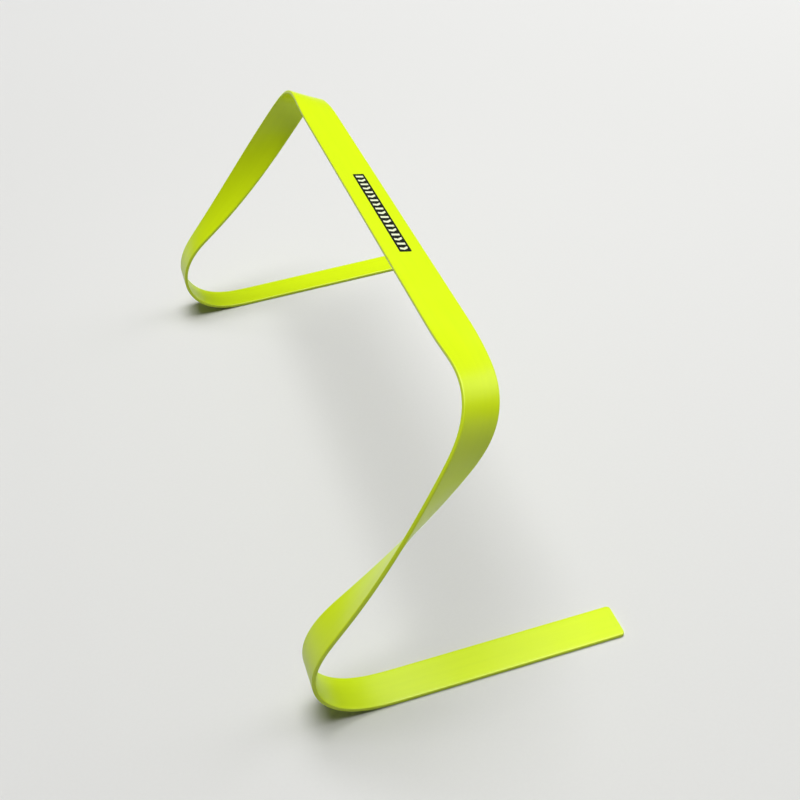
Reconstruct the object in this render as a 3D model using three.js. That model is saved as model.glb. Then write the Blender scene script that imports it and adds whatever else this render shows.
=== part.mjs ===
// Agility hurdle: one flat plastic strip, heat-bent into a crossbar, two twisted legs, two springy
// heel bends and two feet that lie flat on the ground, with a print on the crossbar's outer face.
// Millimetres. +Z is up, +Y runs along the crossbar, and +X is the way the toes point.
// The strip is modelled as the stretches that it flexes between, each in a mesh of its own.

import * as THREE from 'three';

// ---- driving dimensions -------------------------------------------------------------------------

const STRIP_WIDTH = 30;
const STRIP_THICKNESS = 3;
const HALF_LENGTH = 750; // of the strip, from the middle of the crossbar to a toe

// Places along the strip are measured from the middle of the crossbar.
const CORNER = { centre: 266, reach: 57 }; // top corner bend, and how far it spreads each way
const LEG = { from: 174, to: 480, ease: 46 }; // where the strip twists, and over what it eases in
const HEEL = { centre: 511, reach: 84 }; // U-bend at the ground

// The corner's angle is a free choice. The other three follow from it: with them, a foot that lies
// flat and points straight forward goes with a crossbar that is level and square to it.
const CORNER_BEND = THREE.MathUtils.degToRad(77.5);
const LEG_TWIST = THREE.MathUtils.degToRad(116.59);
const LEG_SWEEP = THREE.MathUtils.degToRad(20.22); // bend spread evenly over the twisted leg
const HEEL_BEND = THREE.MathUtils.degToRad(138.97);

const TOE_CORNER_RADIUS = 3;
const SLIT = 0.3; // between neighbouring stretches, so that no two meshes share a face

// The print: its size, its film of ink, and how far it sits from the middle of the crossbar's face,
// towards the front edge and along +Y. It floats clear of the face, so the meshes don't touch.
const PRINT = { length: 140, height: 9, film: 0.12, clear: 0.05, forward: 1, along: -12 };

const TRACE_STEPS = 750; // one step a millimetre
const FACET_LENGTH = 2; // of the faceted bends, short enough to keep the twisted faces fair

// ---- materials ----------------------------------------------------------------------------------

const neonPvc = new THREE.MeshStandardMaterial({ color: 0xd9fb1e, roughness: 0.35, metalness: 0 });
const blackInk = new THREE.MeshStandardMaterial({ color: 0x18210f, roughness: 0.5, metalness: 0 });

// ---- the strip's run ----------------------------------------------------------------------------

// Share of a bend that is done at place s: 0 before it, 1 after it, sharpest at its centre.
function easedShare(s, { centre, reach }) {
  const u = THREE.MathUtils.clamp((s - centre) / reach, -1, 1);
  return (1 + u + Math.sin(Math.PI * u) / Math.PI) / 2;
}

// Length done at the full rate, some length past the place where the rate starts to ease in.
function easedLength(past) {
  const u = THREE.MathUtils.clamp(past / LEG.ease, 0, 1);
  return (LEG.ease * (u - Math.sin(Math.PI * u) / Math.PI)) / 2 + Math.max(past - LEG.ease, 0);
}

// Share of the leg's twist and sweep that is done at place s: an even rate, eased at both ends.
function legShare(s) {
  const length = LEG.to - LEG.from - LEG.ease;
  return (easedLength(s - LEG.from) - easedLength(s - LEG.from - length)) / length;
}

function bendAt(s) {
  const topAndHeel = CORNER_BEND * easedShare(s, CORNER) - HEEL_BEND * easedShare(s, HEEL);
  return topAndHeel + LEG_SWEEP * legShare(s);
}

function twistAt(s) {
  return -LEG_TWIST * legShare(s);
}

// The strip's own axes at a place are x along it, y across it and z out of its outer face. Bending
// turns them about y and twisting about x. The run starts at the toe of the right foot, flat on the
// ground, and is followed back to the middle of the crossbar.
function traceHalfStrip() {
  const step = HALF_LENGTH / TRACE_STEPS;
  const turn = new THREE.Quaternion();
  const halfTurn = new THREE.Quaternion();
  const point = new THREE.Vector3(0, 0, STRIP_THICKNESS / 2);
  const stations = [];
  stations[TRACE_STEPS] = { point: point.clone(), turn: turn.clone() };
  for (let i = TRACE_STEPS; i > 0; i -= 1) {
    const twist = twistAt((i - 1) * step) - twistAt(i * step);
    const bend = bendAt((i - 1) * step) - bendAt(i * step);
    const axis = new THREE.Vector3(twist, bend, 0);
    const angle = axis.length();
    halfTurn.setFromAxisAngle(angle > 0 ? axis.divideScalar(angle) : axis, angle / 2);
    turn.multiply(halfTurn);
    point.addScaledVector(new THREE.Vector3(1, 0, 0).applyQuaternion(turn), -step);
    turn.multiply(halfTurn);
    stations[i - 1] = { point: point.clone(), turn: turn.clone() };
  }
  const middle = stations[0].point.clone().setZ(0);
  stations.forEach((station) => station.point.sub(middle));
  return stations;
}

const stations = traceHalfStrip();

// Place and axes at signed place s: positive on the right half (-Y), negative on the mirrored left.
function stripAt(s) {
  const place = (Math.abs(s) / HALF_LENGTH) * TRACE_STEPS;
  const before = Math.min(Math.floor(place), TRACE_STEPS - 1);
  const share = place - before;
  const point = stations[before].point.clone().lerp(stations[before + 1].point, share);
  const turn = stations[before].turn.clone().slerp(stations[before + 1].turn, share);
  const along = new THREE.Vector3(1, 0, 0).applyQuaternion(turn);
  const across = new THREE.Vector3(0, 1, 0).applyQuaternion(turn);
  const outward = new THREE.Vector3(0, 0, 1).applyQuaternion(turn);
  if (s < 0) {
    [point, along, across, outward].forEach((vector) => vector.setY(-vector.y));
    along.negate();
  }
  return { point, along, across, outward };
}

// A stretch of the strip as a curve whose section keeps the strip's own axes.
class StripRun extends THREE.Curve {
  constructor(from, to) {
    super();
    this.from = from;
    this.to = to;
  }

  placeAt(t) {
    return stripAt(THREE.MathUtils.lerp(this.from, this.to, t));
  }

  getPoint(t) {
    return this.placeAt(t).point;
  }

  getPointAt(t) {
    return this.getPoint(t);
  }

  computeFrenetFrames(segments) {
    const places = Array.from({ length: segments + 1 }, (_, i) => this.placeAt(i / segments));
    return {
      tangents: places.map((place) => place.along),
      normals: places.map((place) => place.across),
      binormals: places.map((place) => place.outward),
    };
  }
}

// ---- pieces -------------------------------------------------------------------------------------

function rectangle(width, height) {
  const shape = new THREE.Shape();
  shape.moveTo(-width / 2, -height / 2);
  shape.lineTo(width / 2, -height / 2);
  shape.lineTo(width / 2, height / 2);
  shape.lineTo(-width / 2, height / 2);
  shape.closePath();
  return shape;
}

const stripSection = rectangle(STRIP_WIDTH, STRIP_THICKNESS);

// One stretch of the strip, between two places on the same half or on either side of the middle.
function stretch(name, from, to, steps) {
  const run = new StripRun(from + SLIT / 2, to - SLIT / 2);
  const geometry = new THREE.ExtrudeGeometry(stripSection, { steps, extrudePath: run });
  const mesh = new THREE.Mesh(geometry, neonPvc);
  mesh.name = name;
  return mesh;
}

function facetsFor(from, to) {
  return Math.ceil(Math.abs(to - from) / FACET_LENGTH);
}

// A foot is the flat end of the strip, with its two toe corners rounded off.
function foot(name, side, heelEnd) {
  const heel = stripAt(side * (heelEnd + SLIT / 2)).point;
  const length = HALF_LENGTH - heelEnd - SLIT / 2;
  const half = STRIP_WIDTH / 2;
  const r = TOE_CORNER_RADIUS;
  const outline = new THREE.Shape();
  outline.moveTo(0, -half);
  outline.lineTo(length - r, -half);
  outline.absarc(length - r, -half + r, r, -Math.PI / 2, 0);
  outline.absarc(length - r, half - r, r, 0, Math.PI / 2);
  outline.lineTo(0, half);
  outline.closePath();
  const geometry = new THREE.ExtrudeGeometry(outline, {
    depth: STRIP_THICKNESS,
    bevelEnabled: false,
    curveSegments: 6,
  });
  const mesh = new THREE.Mesh(geometry, neonPvc);
  mesh.name = name;
  mesh.position.set(heel.x, heel.y, 0);
  return mesh;
}

// The print is a thin film of ink on the crossbar's outer face.
function barPrint() {
  const bar = stripAt(0);
  const film = rectangle(PRINT.height, PRINT.length);
  const geometry = new THREE.ExtrudeGeometry(film, { depth: PRINT.film, bevelEnabled: false });
  const mesh = new THREE.Mesh(geometry, blackInk);
  mesh.name = 'bar_print';
  // the film's own axes: x across the crossbar, y along it, z out of its face
  const axes = new THREE.Matrix4().makeBasis(bar.across, bar.along.clone().negate(), bar.outward);
  mesh.quaternion.setFromRotationMatrix(axes);
  mesh.position.copy(bar.point);
  mesh.position.addScaledVector(bar.outward, STRIP_THICKNESS / 2 + PRINT.clear);
  mesh.position.addScaledVector(bar.across, PRINT.forward);
  mesh.position.y += PRINT.along;
  return mesh;
}

// ---- the hurdle ---------------------------------------------------------------------------------

const barEnd = LEG.from; // the crossbar is straight up to where the twist begins
const cornerEnd = CORNER.centre + CORNER.reach;
const heelStart = HEEL.centre - HEEL.reach;
const heelEnd = HEEL.centre + HEEL.reach;

const hurdle = new THREE.Group();
hurdle.add(stretch('crossbar', -barEnd, barEnd, 1));
hurdle.add(barPrint());
for (const [hand, side] of [['right', 1], ['left', -1]]) {
  const between = (part, a, b) => {
    const [from, to] = side > 0 ? [a, b] : [-b, -a];
    return stretch(`${hand}_${part}`, from, to, facetsFor(a, b));
  };
  hurdle.add(between('top_bend', barEnd, cornerEnd));
  hurdle.add(between('leg', cornerEnd, heelStart));
  hurdle.add(between('heel_bend', heelStart, heelEnd));
  hurdle.add(foot(`${hand}_foot`, side, heelEnd));
}

// The origin is on the ground, under the middle of the hurdle's box.
const extent = new THREE.Box3().setFromObject(hurdle);
hurdle.position.x = -(extent.min.x + extent.max.x) / 2;

export default hurdle;
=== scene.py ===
"""Agility hurdle: one flat strip of fluorescent PVC, heat-bent into a crossbar, two twisted legs,
two springy heel bends and two flat feet, with a two-ink print on the crossbar.

Metres. +Z is up, +Y runs along the crossbar and +X is the way the toes point.
"""

import math

import bpy
from mathutils import Matrix, Quaternion, Vector


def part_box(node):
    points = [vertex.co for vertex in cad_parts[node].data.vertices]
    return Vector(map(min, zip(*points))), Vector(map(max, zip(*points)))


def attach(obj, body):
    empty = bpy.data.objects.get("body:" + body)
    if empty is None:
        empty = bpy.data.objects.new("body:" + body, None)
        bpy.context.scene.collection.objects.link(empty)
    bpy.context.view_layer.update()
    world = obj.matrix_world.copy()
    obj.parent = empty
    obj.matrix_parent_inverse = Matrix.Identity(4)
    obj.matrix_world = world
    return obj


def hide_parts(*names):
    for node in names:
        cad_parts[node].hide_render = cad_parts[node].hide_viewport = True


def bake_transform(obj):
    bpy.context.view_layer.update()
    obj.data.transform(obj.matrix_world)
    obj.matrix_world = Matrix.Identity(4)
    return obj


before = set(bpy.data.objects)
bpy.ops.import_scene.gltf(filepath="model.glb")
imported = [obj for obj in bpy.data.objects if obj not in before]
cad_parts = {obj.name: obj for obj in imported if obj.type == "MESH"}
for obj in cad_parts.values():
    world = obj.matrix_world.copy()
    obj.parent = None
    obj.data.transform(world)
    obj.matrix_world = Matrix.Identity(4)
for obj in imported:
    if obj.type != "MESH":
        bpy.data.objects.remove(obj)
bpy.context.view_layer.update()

MM = 0.001

# ---- sizes, as the frame has them ----------------------------------------------------------------

STRIP_WIDTH = 30 * MM
STRIP_THICKNESS = 3 * MM
HALF_LENGTH = 750 * MM
TOE_CORNER_RADIUS = 3 * MM
LONG_EDGE_RADIUS = 0.8 * MM  # the die leaves the strip's long edges slightly rounded
CUT_END_BEVEL = 0.2 * MM  # the guillotined ends are nearly sharp

# Places along the strip are measured from the middle of the crossbar.
CORNER_CENTRE, CORNER_REACH = 266 * MM, 57 * MM
LEG_FROM, LEG_TO, LEG_EASE = 174 * MM, 480 * MM, 46 * MM
HEEL_CENTRE, HEEL_REACH = 511 * MM, 84 * MM
CORNER_BEND = math.radians(77.5)
LEG_TWIST = math.radians(116.59)
LEG_SWEEP = math.radians(20.22)
HEEL_BEND = math.radians(138.97)

PRINT_LENGTH, PRINT_HEIGHT = 140 * MM, 9 * MM
PRINT_FORWARD, PRINT_ALONG = 1 * MM, -12 * MM  # from the middle of the crossbar's face
BAND_SLANT, BAND_CORNER_RADIUS = 2 * MM, 0.8 * MM
MARK_COUNT = 18
MARK_WIDTH, MARK_HEIGHT, MARK_SLANT = 3.0 * MM, 5.8 * MM, 1.7 * MM
INK_FILM = 0.05 * MM
INK_CLEAR = 0.02 * MM  # keeps the ink from sharing a face with the strip
WHITE_LIFT = INK_FILM * 1.1  # the white lies on the black

TRACE_STEP = 1 * MM
RING_SPACING = 2 * MM  # between the sections of the swept strip
TOE_RING_ANGLES = (15, 30, 45, 58, 68, 90)  # extra sections round each toe's corners
FACE_CUTS = 13  # across each wide face of the section
EDGE_FACETS = 4  # round each long edge of the section

FLOOR_REACH = 20.0


# ---- the strip's run -----------------------------------------------------------------------------

def eased_share(place, centre, reach):
    """Share of a bend that is done at a place: 0 before it, 1 after it, sharpest at its centre."""
    u = max(-1.0, min(1.0, (place - centre) / reach))
    return (1 + u + math.sin(math.pi * u) / math.pi) / 2


def eased_length(past):
    """Length done at the full rate, some length past the place where the rate eases in."""
    u = max(0.0, min(1.0, past / LEG_EASE))
    return LEG_EASE * (u - math.sin(math.pi * u) / math.pi) / 2 + max(past - LEG_EASE, 0.0)


def leg_share(place):
    """Share of the leg's twist and sweep: an even rate, eased at both ends."""
    length = LEG_TO - LEG_FROM - LEG_EASE
    past = place - LEG_FROM
    return (eased_length(past) - eased_length(past - length)) / length


def bend_at(place):
    """Angle bent by a place: out over the corner, on down the leg and back under in the heel."""
    corner = CORNER_BEND * eased_share(place, CORNER_CENTRE, CORNER_REACH)
    heel = HEEL_BEND * eased_share(place, HEEL_CENTRE, HEEL_REACH)
    return corner - heel + LEG_SWEEP * leg_share(place)


def twist_at(place):
    """Angle twisted by a place."""
    return -LEG_TWIST * leg_share(place)


def trace_half_strip():
    """Follow the strip from the right toe, flat on the ground, back to the middle of the crossbar.

    The strip's own axes are x along it, y across it and z out of its outer face. Bending turns
    them about y, and twisting about x.
    """
    turn = Quaternion()
    point = Vector((0, 0, STRIP_THICKNESS / 2))
    stations = [(point, turn)]
    for i in range(round(HALF_LENGTH / TRACE_STEP), 0, -1):
        here, ahead = i * TRACE_STEP, (i - 1) * TRACE_STEP
        axis = Vector((twist_at(ahead) - twist_at(here), bend_at(ahead) - bend_at(here), 0))
        half_turn = Quaternion(axis.normalized(), axis.length / 2) if axis.length else Quaternion()
        turn = turn @ half_turn
        point = point - (turn @ Vector((1, 0, 0))) * TRACE_STEP
        turn = turn @ half_turn
        stations.insert(0, (point, turn))
    low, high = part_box("crossbar")
    shift = Vector(((low[0] + high[0]) / 2 - point.x, -point.y, 0))
    return [(station + shift, axes) for station, axes in stations]


STATIONS = trace_half_strip()


def strip_at(place):
    """Centre, across and outward at a signed place: positive on the right half, towards -Y."""
    steps = min(abs(place) / TRACE_STEP, len(STATIONS) - 1.0)
    before = min(int(steps), len(STATIONS) - 2)
    (near_point, near_turn), (far_point, far_turn) = STATIONS[before:before + 2]
    point = near_point.lerp(far_point, steps - before)
    turn = near_turn.slerp(far_turn, steps - before)
    across, outward = turn @ Vector((0, 1, 0)), turn @ Vector((0, 0, 1))
    if place < 0:
        for vector in (point, across, outward):
            vector.y = -vector.y
    return point, across, outward


# ---- helpers -------------------------------------------------------------------------------------

def add(tree, kind, inputs=None, **settings):
    """Add a node. An input takes a value, or is linked where it is given another node's output."""
    node = tree.nodes.new(kind)
    for setting, value in settings.items():
        setattr(node, setting, value)
    for socket, value in (inputs or {}).items():
        if isinstance(value, bpy.types.NodeSocket):
            tree.links.new(value, node.inputs[socket])
        else:
            node.inputs[socket].default_value = value
    return node


def colour(hex_value):
    """An sRGB hex value as linear RGBA."""
    channels = [int(hex_value[i:i + 2], 16) / 255 for i in (1, 3, 5)]
    linear = [c / 12.92 if c <= 0.04045 else ((c + 0.055) / 1.055) ** 2.4 for c in channels]
    return (*linear, 1.0)


def new_geometry_tree(name, sizes):
    """A tree that takes a mesh, the named sizes and a material, and gives a mesh."""
    tree = bpy.data.node_groups.new(name, "GeometryNodeTree")
    tree.interface.new_socket("Mesh", in_out="INPUT", socket_type="NodeSocketGeometry")
    for size in sizes:
        kind = "NodeSocketInt" if isinstance(sizes[size], int) else "NodeSocketFloat"
        tree.interface.new_socket(size, in_out="INPUT", socket_type=kind)
    tree.interface.new_socket("Material", in_out="INPUT", socket_type="NodeSocketMaterial")
    tree.interface.new_socket("Mesh", in_out="OUTPUT", socket_type="NodeSocketGeometry")
    return tree, add(tree, "NodeGroupInput").outputs


def end_tree(tree, geometry, material):
    """Make every instance real, coat the mesh and give it out."""
    real = add(tree, "GeometryNodeRealizeInstances", {0: geometry})
    coated = add(tree, "GeometryNodeSetMaterial", {
        "Geometry": real.outputs[0], "Material": material})
    add(tree, "NodeGroupOutput", {0: coated.outputs[0]})


def make_piece(name, tree, start_mesh, inputs, finish):
    """Run a tree and the finishing modifiers on a starting mesh, and keep the plain mesh."""
    piece = bpy.data.objects.new(name, start_mesh)
    bpy.context.scene.collection.objects.link(piece)
    modifier = piece.modifiers.new(name, "NODES")
    modifier.node_group = tree
    for socket in tree.interface.items_tree:
        if socket.in_out == "INPUT" and socket.name in inputs:
            modifier[socket.identifier] = inputs[socket.name]
    finish(piece)
    depsgraph = bpy.context.evaluated_depsgraph_get()
    mesh = bpy.data.meshes.new_from_object(
        piece.evaluated_get(depsgraph), preserve_all_data_layers=True, depsgraph=depsgraph)
    mesh.materials.clear()
    mesh.materials.append(inputs["Material"])
    mesh.name = name
    piece.modifiers.clear()
    piece.data = mesh
    return piece


# ---- camera, floor and light ---------------------------------------------------------------------

def place_camera():
    """Stand in front and to the left, looking down along the crossbar."""
    camera = bpy.data.objects.new("camera", bpy.data.cameras.new("camera"))
    bpy.context.scene.collection.objects.link(camera)
    bpy.context.scene.camera = camera
    eye, target = Vector((-0.162, -0.863, 0.704)), Vector((0.042, 0.030, 0.010))
    roll = math.radians(-6.36)
    camera.rotation_mode = "QUATERNION"
    aim = (target - eye).to_track_quat("-Z", "Y")
    camera.rotation_quaternion = aim @ Quaternion((0, 0, 1), roll)
    camera.location = eye
    camera.data.lens = 56
    camera.data.clip_start = 0.01


def place_light(name, location, target, size, power):
    """A square soft box, facing its target."""
    data = bpy.data.lights.new(name, "AREA")
    data.size = size
    data.energy = power
    light = bpy.data.objects.new(name, data)
    bpy.context.scene.collection.objects.link(light)
    light.location = location
    light.rotation_euler = (Vector(target) - Vector(location)).to_track_quat("-Z", "Y").to_euler()


def light_studio():
    """An even wash from above, soft boxes overhead and on the right, and a pale room."""
    place_light("right_softbox", (2.5, 0.25, 3.1), (0, 0, 0.1), 2.2, 26)
    place_light("low_right_softbox", (3.6, 0.5, 1.6), (0, 0, 0.1), 2.2, 13)
    place_light("overhead_softbox", (0.3, 0.6, 2.2), (0, 0.1, 0), 1.1, 22)
    wash = bpy.data.objects.new("even_wash", bpy.data.lights.new("even_wash", "SUN"))
    wash.data.energy = 1.6
    wash.data.angle = math.radians(35)
    bpy.context.scene.collection.objects.link(wash)
    world = bpy.data.worlds.new("pale_room")
    bpy.context.scene.world = world
    world.use_nodes = True
    # the room looks as pale as the far floor, but adds little light of its own
    ray = add(world.node_tree, "ShaderNodeLightPath")
    strength = add(world.node_tree, "ShaderNodeMapRange", {
        "Value": ray.outputs["Is Camera Ray"], "To Min": 0.06, "To Max": 0.6})
    background = world.node_tree.nodes["Background"]
    background.inputs["Color"].default_value = colour("#FCFCFC")
    world.node_tree.links.new(strength.outputs[0], background.inputs["Strength"])
    # the neon is outside what a film-like curve can hold, so colours go to the screen as they are
    bpy.context.scene.view_settings.view_transform = "Standard"


def studio_paper():
    """Matt studio paper with a very faint tooth, whiter away from the lights to look even."""
    material = bpy.data.materials.new("matt_studio_paper")
    material.use_nodes = True
    tree = material.node_tree
    shader = tree.nodes["Principled BSDF"]
    shader.inputs["Roughness"].default_value = 0.9
    shader.inputs["Specular IOR Level"].default_value = 0.1
    place = add(tree, "ShaderNodeTexCoord").outputs["Object"]
    from_middle = add(tree, "ShaderNodeVectorMath", {0: place}, operation="LENGTH")
    outer = add(tree, "ShaderNodeMapRange", {
        "Value": from_middle.outputs["Value"], "From Min": 0.6, "From Max": 2.6},
        interpolation_type="SMOOTHSTEP")
    sheet = add(tree, "ShaderNodeMix", {
        "Factor": outer.outputs[0], 6: colour("#DEDEDC"), 7: colour("#FDFDFC")},
        data_type="RGBA")
    tooth = add(tree, "ShaderNodeTexNoise", {"Vector": place, "Scale": 400.0, "Detail": 3.0})
    grain = add(tree, "ShaderNodeMapRange", {
        "Value": tooth.outputs[0], "To Min": 0.985, "To Max": 1.015})
    # it throws back less light than it looks to, so the hurdle's steep faces keep their depth
    ray = add(tree, "ShaderNodeLightPath")
    bounce = add(tree, "ShaderNodeMapRange", {
        "Value": ray.outputs["Is Diffuse Ray"], "To Min": 1.0, "To Max": 0.65})
    value = add(tree, "ShaderNodeMath", {0: grain.outputs[0], 1: bounce.outputs[0]},
                operation="MULTIPLY")
    shade = add(tree, "ShaderNodeHueSaturation", {
        "Value": value.outputs[0], "Color": sheet.outputs[2]})
    tree.links.new(shade.outputs[0], shader.inputs["Base Color"])
    return material


def lay_floor():
    """A flat sheet so wide that no view from beside the hurdle shows its edge."""
    mesh = bpy.data.meshes.new("floor")
    corners = [(x * FLOOR_REACH, y * FLOOR_REACH, 0) for x, y in ((-1, -1), (1, -1), (1, 1), (-1, 1))]
    mesh.from_pydata(corners, [], [(0, 1, 2, 3)])
    mesh.materials.append(studio_paper())
    floor = bpy.data.objects.new("floor", mesh)
    bpy.context.scene.collection.objects.link(floor)


# ---- finishes ------------------------------------------------------------------------------------

def fluorescent_pvc():
    """Extruded fluorescent PVC strip, heat-bent.

    It gives the eye an even neon yellow with a satin gloss: faint die lines along the strip, a
    slow ripple in the reflections, a little haze where it was heated, dull cut ends, and a
    painted highlight along the long edges.
    """
    material = bpy.data.materials.new("fluorescent_pvc")
    material.use_nodes = True
    tree = material.node_tree
    shader = tree.nodes["Principled BSDF"]
    shader.inputs["IOR"].default_value = 1.54

    # the strip's own place: x along it, y across it, z through it, in metres
    place = add(tree, "ShaderNodeAttribute", attribute_name="strip_place").outputs["Vector"]
    axes = add(tree, "ShaderNodeSeparateXYZ", {0: place}).outputs
    run = add(tree, "ShaderNodeMath", {0: axes[0]}, operation="ABSOLUTE").outputs[0]
    across = add(tree, "ShaderNodeMath", {0: axes[1]}, operation="ABSOLUTE").outputs[0]

    # pigment streaks drawn out by the die: about 4 mm wide and 120 mm long
    streak_place = add(tree, "ShaderNodeMapping", {"Vector": place, "Scale": (8, 250, 250)})
    streaks = add(tree, "ShaderNodeTexNoise", {
        "Vector": streak_place.outputs[0], "Scale": 1.0, "Detail": 2.0, "Roughness": 0.5})
    body = add(tree, "ShaderNodeMix", {
        "Factor": streaks.outputs[0], 6: colour("#D9F400"), 7: colour("#E3FC02")},
        data_type="RGBA").outputs[2]

    # painted highlight: the rounded long edges are painted a little paler, in patches about 12 mm
    # long, as if they caught the light
    highlight_patches = add(tree, "ShaderNodeTexNoise", {"Vector": place, "Scale": 80.0, "Detail": 3.0})
    at_edge = add(tree, "ShaderNodeMapRange", {
        "Value": across, "From Min": 14.1 * MM, "From Max": 15 * MM}).outputs[0]
    edge_highlight = add(tree, "ShaderNodeMath", {0: at_edge, 1: highlight_patches.outputs[0]},
                 operation="MULTIPLY").outputs[0]
    edge_highlight_share = add(tree, "ShaderNodeMath", {0: edge_highlight, 1: 0.3}, operation="MULTIPLY")
    # mix the painted edge highlight into the strip's colour
    surface = add(tree, "ShaderNodeMix", {
        "Factor": edge_highlight_share.outputs[0], 6: body, 7: colour("#ECFF6A")},
        data_type="RGBA").outputs[2]
    tree.links.new(surface, shader.inputs["Base Color"])

    # satin gloss, hazier where the strip was heated for the corner and the heel, dull where cut
    slow = add(tree, "ShaderNodeTexNoise", {"Vector": place, "Scale": 40.0, "Detail": 2.0})
    gloss = add(tree, "ShaderNodeMapRange", {
        "Value": slow.outputs[0], "To Min": 0.27, "To Max": 0.35}).outputs[0]
    for centre, reach in ((CORNER_CENTRE, CORNER_REACH), (HEEL_CENTRE, HEEL_REACH)):
        away = add(tree, "ShaderNodeMath", {0: run, 1: centre}, operation="SUBTRACT")
        off = add(tree, "ShaderNodeMath", {0: away.outputs[0]}, operation="ABSOLUTE")
        haze = add(tree, "ShaderNodeMapRange", {
            "Value": off.outputs[0], "From Min": 0.0, "From Max": reach, "To Min": 0.06,
            "To Max": 0.0}, interpolation_type="SMOOTHSTEP")
        gloss = add(tree, "ShaderNodeMath", {0: gloss, 1: haze.outputs[0]},
                    operation="ADD").outputs[0]
    cut = add(tree, "ShaderNodeMapRange", {
        "Value": run, "From Min": HALF_LENGTH - CUT_END_BEVEL, "From Max": HALF_LENGTH,
        "To Max": 0.3})
    dull = add(tree, "ShaderNodeMath", {0: gloss, 1: cut.outputs[0]}, operation="ADD")
    tree.links.new(dull.outputs[0], shader.inputs["Roughness"])

    # die lines, drawn 1.5 mm apart where the real ones are finer, over a ripple 15 mm across
    line_place = add(tree, "ShaderNodeMapping", {"Vector": place, "Scale": (2.5, 660, 660)})
    lines = add(tree, "ShaderNodeTexNoise", {
        "Vector": line_place.outputs[0], "Scale": 1.0, "Detail": 3.0})
    ripple = add(tree, "ShaderNodeTexNoise", {"Vector": place, "Scale": 65.0, "Detail": 1.0})
    rippled = add(tree, "ShaderNodeBump", {
        "Height": ripple.outputs[0], "Distance": 0.05 * MM, "Strength": 1.0})
    lined = add(tree, "ShaderNodeBump", {
        "Height": lines.outputs[0], "Distance": 0.008 * MM, "Strength": 1.0,
        "Normal": rippled.outputs[0]})
    tree.links.new(lined.outputs[0], shader.inputs["Normal"])
    return material


def screen_print_ink():
    """Screen-printed vinyl ink, black with white over it.

    It gives the eye a flat, slightly satin film with soft mottling and a few pinholes.
    """
    material = bpy.data.materials.new("screen_print_ink")
    material.use_nodes = True
    tree = material.node_tree
    shader = tree.nodes["Principled BSDF"]
    shader.inputs["IOR"].default_value = 1.48
    shader.inputs["Specular IOR Level"].default_value = 0.25
    place = add(tree, "ShaderNodeTexCoord").outputs["Object"]
    white = add(tree, "ShaderNodeAttribute", attribute_name="white_ink").outputs["Fac"]
    mottle = add(tree, "ShaderNodeTexNoise", {"Vector": place, "Scale": 900.0, "Detail": 3.0})
    black_ink = add(tree, "ShaderNodeMix", {
        "Factor": mottle.outputs[0], 6: colour("#0A1206"), 7: colour("#142009")},
        data_type="RGBA")
    white_ink = add(tree, "ShaderNodeMix", {
        "Factor": mottle.outputs[0], 6: colour("#E4EEC0"), 7: colour("#F1F7D8")},
        data_type="RGBA")
    ink = add(tree, "ShaderNodeMix", {
        "Factor": white, 6: black_ink.outputs[2], 7: white_ink.outputs[2]}, data_type="RGBA")
    # pinholes about 0.3 mm across let the strip's colour through
    holes = add(tree, "ShaderNodeTexNoise", {"Vector": place, "Scale": 2500.0, "Detail": 1.0})
    through = add(tree, "ShaderNodeMapRange", {
        "Value": holes.outputs[0], "From Min": 0.74, "From Max": 0.78})
    spotted = add(tree, "ShaderNodeMix", {
        "Factor": through.outputs[0], 6: ink.outputs[2], 7: colour("#B9D214")},
        data_type="RGBA")
    tree.links.new(spotted.outputs[2], shader.inputs["Base Color"])
    gloss = add(tree, "ShaderNodeMapRange", {
        "Value": mottle.outputs[0], "To Min": 0.42, "To Max": 0.58})
    tree.links.new(gloss.outputs[0], shader.inputs["Roughness"])
    film = add(tree, "ShaderNodeBump", {
        "Height": mottle.outputs[0], "Distance": 0.01 * MM, "Strength": 1.0})
    tree.links.new(film.outputs[0], shader.inputs["Normal"])
    return material


# ---- the strip -----------------------------------------------------------------------------------

def strip_run_mesh():
    """The strip's centre line, each point with its directions and its place along the strip."""
    straight = HALF_LENGTH - TOE_CORNER_RADIUS
    rings = round(straight / RING_SPACING)
    half = [straight * i / rings for i in range(rings + 1)]
    for angle in TOE_RING_ANGLES:
        half.append(straight + TOE_CORNER_RADIUS * math.sin(math.radians(angle)))
    places = [-place for place in reversed(half[1:])] + half
    mesh = bpy.data.meshes.new("strip_run")
    points, acrosses, _ = zip(*map(strip_at, places))
    mesh.from_pydata(points, [(i, i + 1) for i in range(len(places) - 1)], [])
    run = mesh.attributes.new("run", "FLOAT", "POINT")
    run.data.foreach_set("value", places)
    across = mesh.attributes.new("across", "FLOAT_VECTOR", "POINT")
    across.data.foreach_set("vector", [value for vector in acrosses for value in vector])
    return mesh


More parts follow.
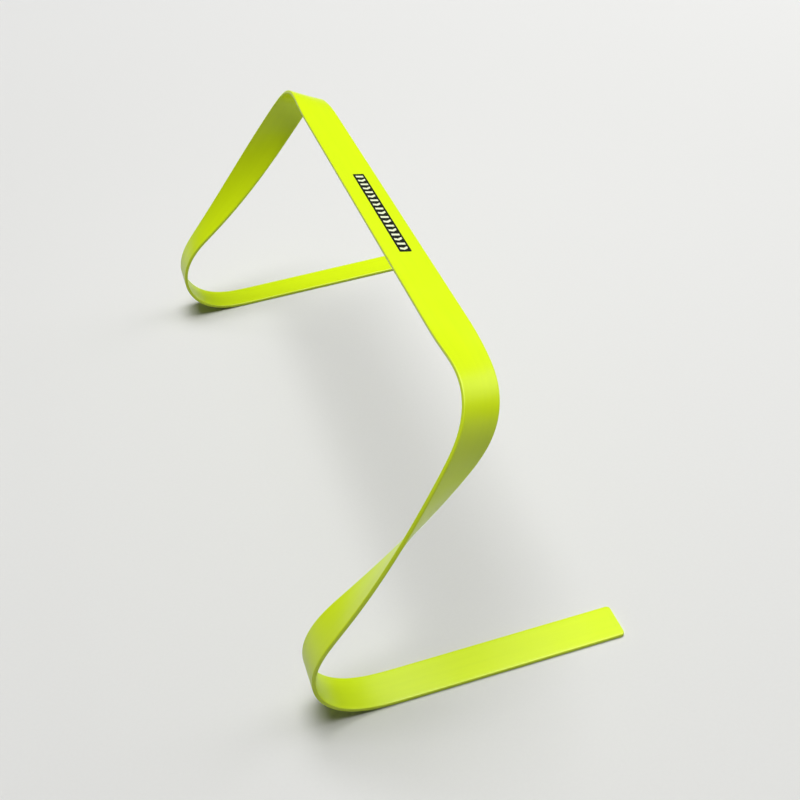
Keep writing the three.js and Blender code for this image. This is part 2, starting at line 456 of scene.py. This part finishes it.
def strip_tree(sizes):
    """Sweep the die's section along the run, then round the corners of the toes."""
    tree, given = new_geometry_tree("strip_sweep", sizes)

    # the section is a rounded rectangle, its wide faces split so that a twisted face stays fair
    plain = add(tree, "GeometryNodeCurvePrimitiveQuadrilateral", {
        "Width": given["Width"], "Height": given["Thickness"]}, mode="RECTANGLE")
    index = add(tree, "GeometryNodeInputIndex")
    is_short = add(tree, "ShaderNodeMath", {0: index.outputs[0], 1: 2.0}, operation="MODULO")
    is_wide = add(tree, "ShaderNodeMath", {0: 1.0, 1: is_short.outputs[0]}, operation="SUBTRACT")
    cuts = add(tree, "ShaderNodeMath", {0: is_wide.outputs[0], 1: given["Face cuts"]},
               operation="MULTIPLY")
    split = add(tree, "GeometryNodeSubdivideCurve", {
        "Curve": plain.outputs[0], "Cuts": cuts.outputs[0]})
    spot = add(tree, "GeometryNodeInputPosition")
    spot_axes = add(tree, "ShaderNodeSeparateXYZ", {0: spot.outputs[0]})
    sideways = add(tree, "ShaderNodeMath", {0: spot_axes.outputs[0]}, operation="ABSOLUTE")
    nearly_edge = add(tree, "ShaderNodeMath", {0: given["Width"], 1: 0.499},
                      operation="MULTIPLY")
    is_corner = add(tree, "ShaderNodeMath", {0: sideways.outputs[0], 1: nearly_edge.outputs[0]},
                    operation="GREATER_THAN")
    radius = add(tree, "ShaderNodeMath", {0: is_corner.outputs[0], 1: given["Edge radius"]},
                 operation="MULTIPLY")
    section = add(tree, "GeometryNodeFilletCurve", {
        "Curve": split.outputs[0], "Count": EDGE_FACETS, "Radius": radius.outputs[0]}, mode="POLY")
    marked_section = add(tree, "GeometryNodeStoreNamedAttribute", {
        "Geometry": section.outputs[0], "Name": "section", "Value": spot.outputs[0]},
        data_type="FLOAT_VECTOR", domain="POINT")

    # the sweep
    across = add(tree, "GeometryNodeInputNamedAttribute", {"Name": "across"},
                 data_type="FLOAT_VECTOR")
    line = add(tree, "GeometryNodeMeshToCurve", {"Mesh": given["Mesh"]})
    turned = add(tree, "GeometryNodeSetCurveNormal", {
        "Curve": line.outputs[0], "Normal": across.outputs[0]}, mode="FREE")
    swept = add(tree, "GeometryNodeCurveToMesh", {
        "Curve": turned.outputs[0], "Profile Curve": marked_section.outputs[0],
        "Fill Caps": True})

    # toe corners: within a radius of the end, both edges draw in along a quarter circle
    run = add(tree, "GeometryNodeInputNamedAttribute", {"Name": "run"}, data_type="FLOAT")
    on_section = add(tree, "GeometryNodeInputNamedAttribute", {"Name": "section"},
                     data_type="FLOAT_VECTOR")
    section_axes = add(tree, "ShaderNodeSeparateXYZ", {0: on_section.outputs[0]})
    from_middle = add(tree, "ShaderNodeMath", {0: run.outputs[0]}, operation="ABSOLUTE")
    to_toe = add(tree, "ShaderNodeMath", {0: given["Half length"], 1: from_middle.outputs[0]},
                 operation="SUBTRACT")
    short_by = add(tree, "ShaderNodeMath", {0: given["Toe radius"], 1: to_toe.outputs[0]},
                   operation="SUBTRACT")
    into_corner = add(tree, "ShaderNodeMath", {0: short_by.outputs[0], 1: 0.0},
                      operation="MAXIMUM")
    radius_squared = add(tree, "ShaderNodeMath", {0: given["Toe radius"], 1: 2.0},
                         operation="POWER")
    into_squared = add(tree, "ShaderNodeMath", {0: into_corner.outputs[0], 1: 2.0},
                       operation="POWER")
    left_over = add(tree, "ShaderNodeMath", {
        0: radius_squared.outputs[0], 1: into_squared.outputs[0]}, operation="SUBTRACT")
    chord = add(tree, "ShaderNodeMath", {0: left_over.outputs[0]}, operation="SQRT")
    drawn_in = add(tree, "ShaderNodeMath", {0: given["Toe radius"], 1: chord.outputs[0]},
                   operation="SUBTRACT")
    half_width = add(tree, "ShaderNodeMath", {0: given["Width"], 1: 2.0}, operation="DIVIDE")
    share = add(tree, "ShaderNodeMath", {0: drawn_in.outputs[0], 1: half_width.outputs[0]},
                operation="DIVIDE")
    move = add(tree, "ShaderNodeMath", {0: section_axes.outputs[0], 1: share.outputs[0]},
               operation="MULTIPLY")
    back = add(tree, "ShaderNodeMath", {0: move.outputs[0], 1: -1.0}, operation="MULTIPLY")
    inward = add(tree, "ShaderNodeVectorMath", {
        0: across.outputs[0], "Scale": back.outputs[0]}, operation="SCALE")
    rounded = add(tree, "GeometryNodeSetPosition", {
        "Geometry": swept.outputs[0], "Offset": inward.outputs[0]})

    # every point keeps its place on the strip, for the finish to follow
    place = add(tree, "ShaderNodeCombineXYZ", {
        0: run.outputs[0], 1: section_axes.outputs[0], 2: section_axes.outputs[1]})
    placed = add(tree, "GeometryNodeStoreNamedAttribute", {
        "Geometry": rounded.outputs[0], "Name": "strip_place", "Value": place.outputs[0]},
        data_type="FLOAT_VECTOR", domain="POINT").outputs[0]
    for name in ("run", "across", "section"):
        placed = add(tree, "GeometryNodeRemoveAttribute", {
            "Geometry": placed, "Name": name}).outputs[0]
    end_tree(tree, placed, given["Material"])
    return tree


def bevel_cut_ends(piece):
    """Take the sharpness off the guillotined ends."""
    bevel = piece.modifiers.new("cut_ends", "BEVEL")
    bevel.width = CUT_END_BEVEL
    bevel.segments = 2
    bevel.limit_method = "ANGLE"
    bevel.angle_limit = math.radians(60)


def make_strip():
    """The whole strip as one unbroken mesh, in place of all its stretches."""
    sizes = {"Width": STRIP_WIDTH, "Thickness": STRIP_THICKNESS, "Edge radius": LONG_EDGE_RADIUS,
             "Half length": HALF_LENGTH, "Toe radius": TOE_CORNER_RADIUS, "Face cuts": FACE_CUTS}
    strip = make_piece("hurdle_strip", strip_tree(sizes), strip_run_mesh(),
                       {**sizes, "Material": fluorescent_pvc()}, bevel_cut_ends)
    for face in strip.data.polygons:
        face.use_smooth = face.loop_total == 4  # the two cut ends stay flat
    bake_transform(strip)
    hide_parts("crossbar", "right_top_bend", "left_top_bend", "right_leg", "left_leg",
                "right_heel_bend", "left_heel_bend", "right_foot", "left_foot")


# ---- the print -----------------------------------------------------------------------------------

def print_tree(sizes):
    """A black slanted band, and a row of white bars and chevrons over it."""
    tree, given = new_geometry_tree("crossbar_print", sizes)

    band = add(tree, "GeometryNodeCurvePrimitiveQuadrilateral", {
        "Width": given["Length"], "Height": given["Height"], "Offset": given["Slant"]},
        mode="PARALLELOGRAM")
    band_round = add(tree, "GeometryNodeFilletCurve", {
        "Curve": band.outputs[0], "Count": 3, "Radius": given["Corner radius"]}, mode="POLY")
    band_face = add(tree, "GeometryNodeFillCurve", {"Curve": band_round.outputs[0]},
                    mode="TRIANGLES")

    # two kinds of mark: a bar, and a chevron made of two half-height arms that lean opposite ways
    bar = add(tree, "GeometryNodeCurvePrimitiveQuadrilateral", {
        "Width": given["Mark width"], "Height": given["Mark height"],
        "Offset": given["Mark slant"]}, mode="PARALLELOGRAM")
    bar_face = add(tree, "GeometryNodeFillCurve", {"Curve": bar.outputs[0]}, mode="NGONS")
    arm_height = add(tree, "ShaderNodeMath", {0: given["Mark height"], 1: 2.0},
                     operation="DIVIDE")
    arms = add(tree, "GeometryNodeJoinGeometry")
    for side in (1.0, -1.0):
        lean = add(tree, "ShaderNodeMath", {0: given["Mark slant"], 1: -side},
                   operation="MULTIPLY")
        rise = add(tree, "ShaderNodeMath", {0: arm_height.outputs[0], 1: side / 2},
                   operation="MULTIPLY")
        arm = add(tree, "GeometryNodeCurvePrimitiveQuadrilateral", {
            "Width": given["Mark width"], "Height": arm_height.outputs[0],
            "Offset": lean.outputs[0]}, mode="PARALLELOGRAM")
        arm_face = add(tree, "GeometryNodeFillCurve", {"Curve": arm.outputs[0]}, mode="NGONS")
        up = add(tree, "ShaderNodeCombineXYZ", {1: rise.outputs[0]})
        raised = add(tree, "GeometryNodeTransform", {
            "Geometry": arm_face.outputs[0], "Translation": up.outputs[0]})
        tree.links.new(raised.outputs[0], arms.inputs[0])
    chevron_face = add(tree, "GeometryNodeMergeByDistance", {0: arms.outputs[0]})
    kinds = add(tree, "GeometryNodeJoinGeometry")
    for face in (chevron_face.outputs[0], bar_face.outputs[0]):
        kind = add(tree, "GeometryNodeGeometryToInstance", {0: face})
        tree.links.new(kind.outputs[0], kinds.inputs[0])

    # the row, evenly spaced along the band
    pitch = add(tree, "ShaderNodeMath", {0: given["Row length"], 1: given["Mark count"]},
                operation="DIVIDE")
    less_one = add(tree, "ShaderNodeMath", {0: given["Mark count"], 1: -1.0}, operation="ADD")
    reach = add(tree, "ShaderNodeMath", {0: less_one.outputs[0], 1: pitch.outputs[0]},
                operation="MULTIPLY")
    start = add(tree, "ShaderNodeMath", {0: reach.outputs[0], 1: -0.5}, operation="MULTIPLY")
    first = add(tree, "ShaderNodeCombineXYZ", {0: start.outputs[0], 2: given["White lift"]})
    step = add(tree, "ShaderNodeCombineXYZ", {0: pitch.outputs[0]})
    row = add(tree, "GeometryNodeMeshLine", {
        "Count": given["Mark count"], "Start Location": first.outputs[0],
        "Offset": step.outputs[0]}, mode="OFFSET")
    index = add(tree, "GeometryNodeInputIndex")
    which = add(tree, "ShaderNodeMath", {0: index.outputs[0], 1: 2.0}, operation="MODULO")
    marks = add(tree, "GeometryNodeInstanceOnPoints", {
        "Points": row.outputs[0], "Instance": kinds.outputs[0], "Pick Instance": True,
        "Instance Index": which.outputs[0]})
    marks_real = add(tree, "GeometryNodeRealizeInstances", {0: marks.outputs[0]})

    both = add(tree, "GeometryNodeJoinGeometry")
    for geometry, white in ((band_face.outputs[0], 0.0), (marks_real.outputs[0], 1.0)):
        inked = add(tree, "GeometryNodeStoreNamedAttribute", {
            "Geometry": geometry, "Name": "white_ink", "Value": white},
            data_type="FLOAT", domain="POINT")
        tree.links.new(inked.outputs[0], both.inputs[0])
    end_tree(tree, both.outputs[0], given["Material"])
    return tree


def thicken_ink(piece):
    """Give the flat ink shapes their film thickness."""
    film = piece.modifiers.new("ink_film", "SOLIDIFY")
    film.thickness = INK_FILM
    film.offset = 1


def make_print():
    """The band and its marks, on the crossbar's outer face."""
    # the slant adds to the band's length, and the row stops short of its ends
    sizes = {"Length": PRINT_LENGTH - BAND_SLANT, "Height": PRINT_HEIGHT, "Slant": BAND_SLANT,
             "Corner radius": BAND_CORNER_RADIUS, "Row length": PRINT_LENGTH - 5 * MM,
             "Mark count": MARK_COUNT, "Mark width": MARK_WIDTH, "Mark height": MARK_HEIGHT,
             "Mark slant": MARK_SLANT, "White lift": WHITE_LIFT}
    marks = make_piece("print_marks", print_tree(sizes), bpy.data.meshes.new("no_start"),
                       {**sizes, "Material": screen_print_ink()}, thicken_ink)
    # the row runs towards the right end of the crossbar, its top at the front edge
    point, across, outward = strip_at(0.0)
    along = outward.cross(across) * -1
    turn = Matrix((along, across, outward)).transposed().to_4x4()
    face = point + outward * (STRIP_THICKNESS / 2 + INK_CLEAR) + across * PRINT_FORWARD
    face.y += PRINT_ALONG
    marks.data.transform(Matrix.Translation(face) @ turn)
    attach(marks, "arch")
    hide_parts("bar_print")


place_camera()
light_studio()
lay_floor()
make_strip()
make_print()
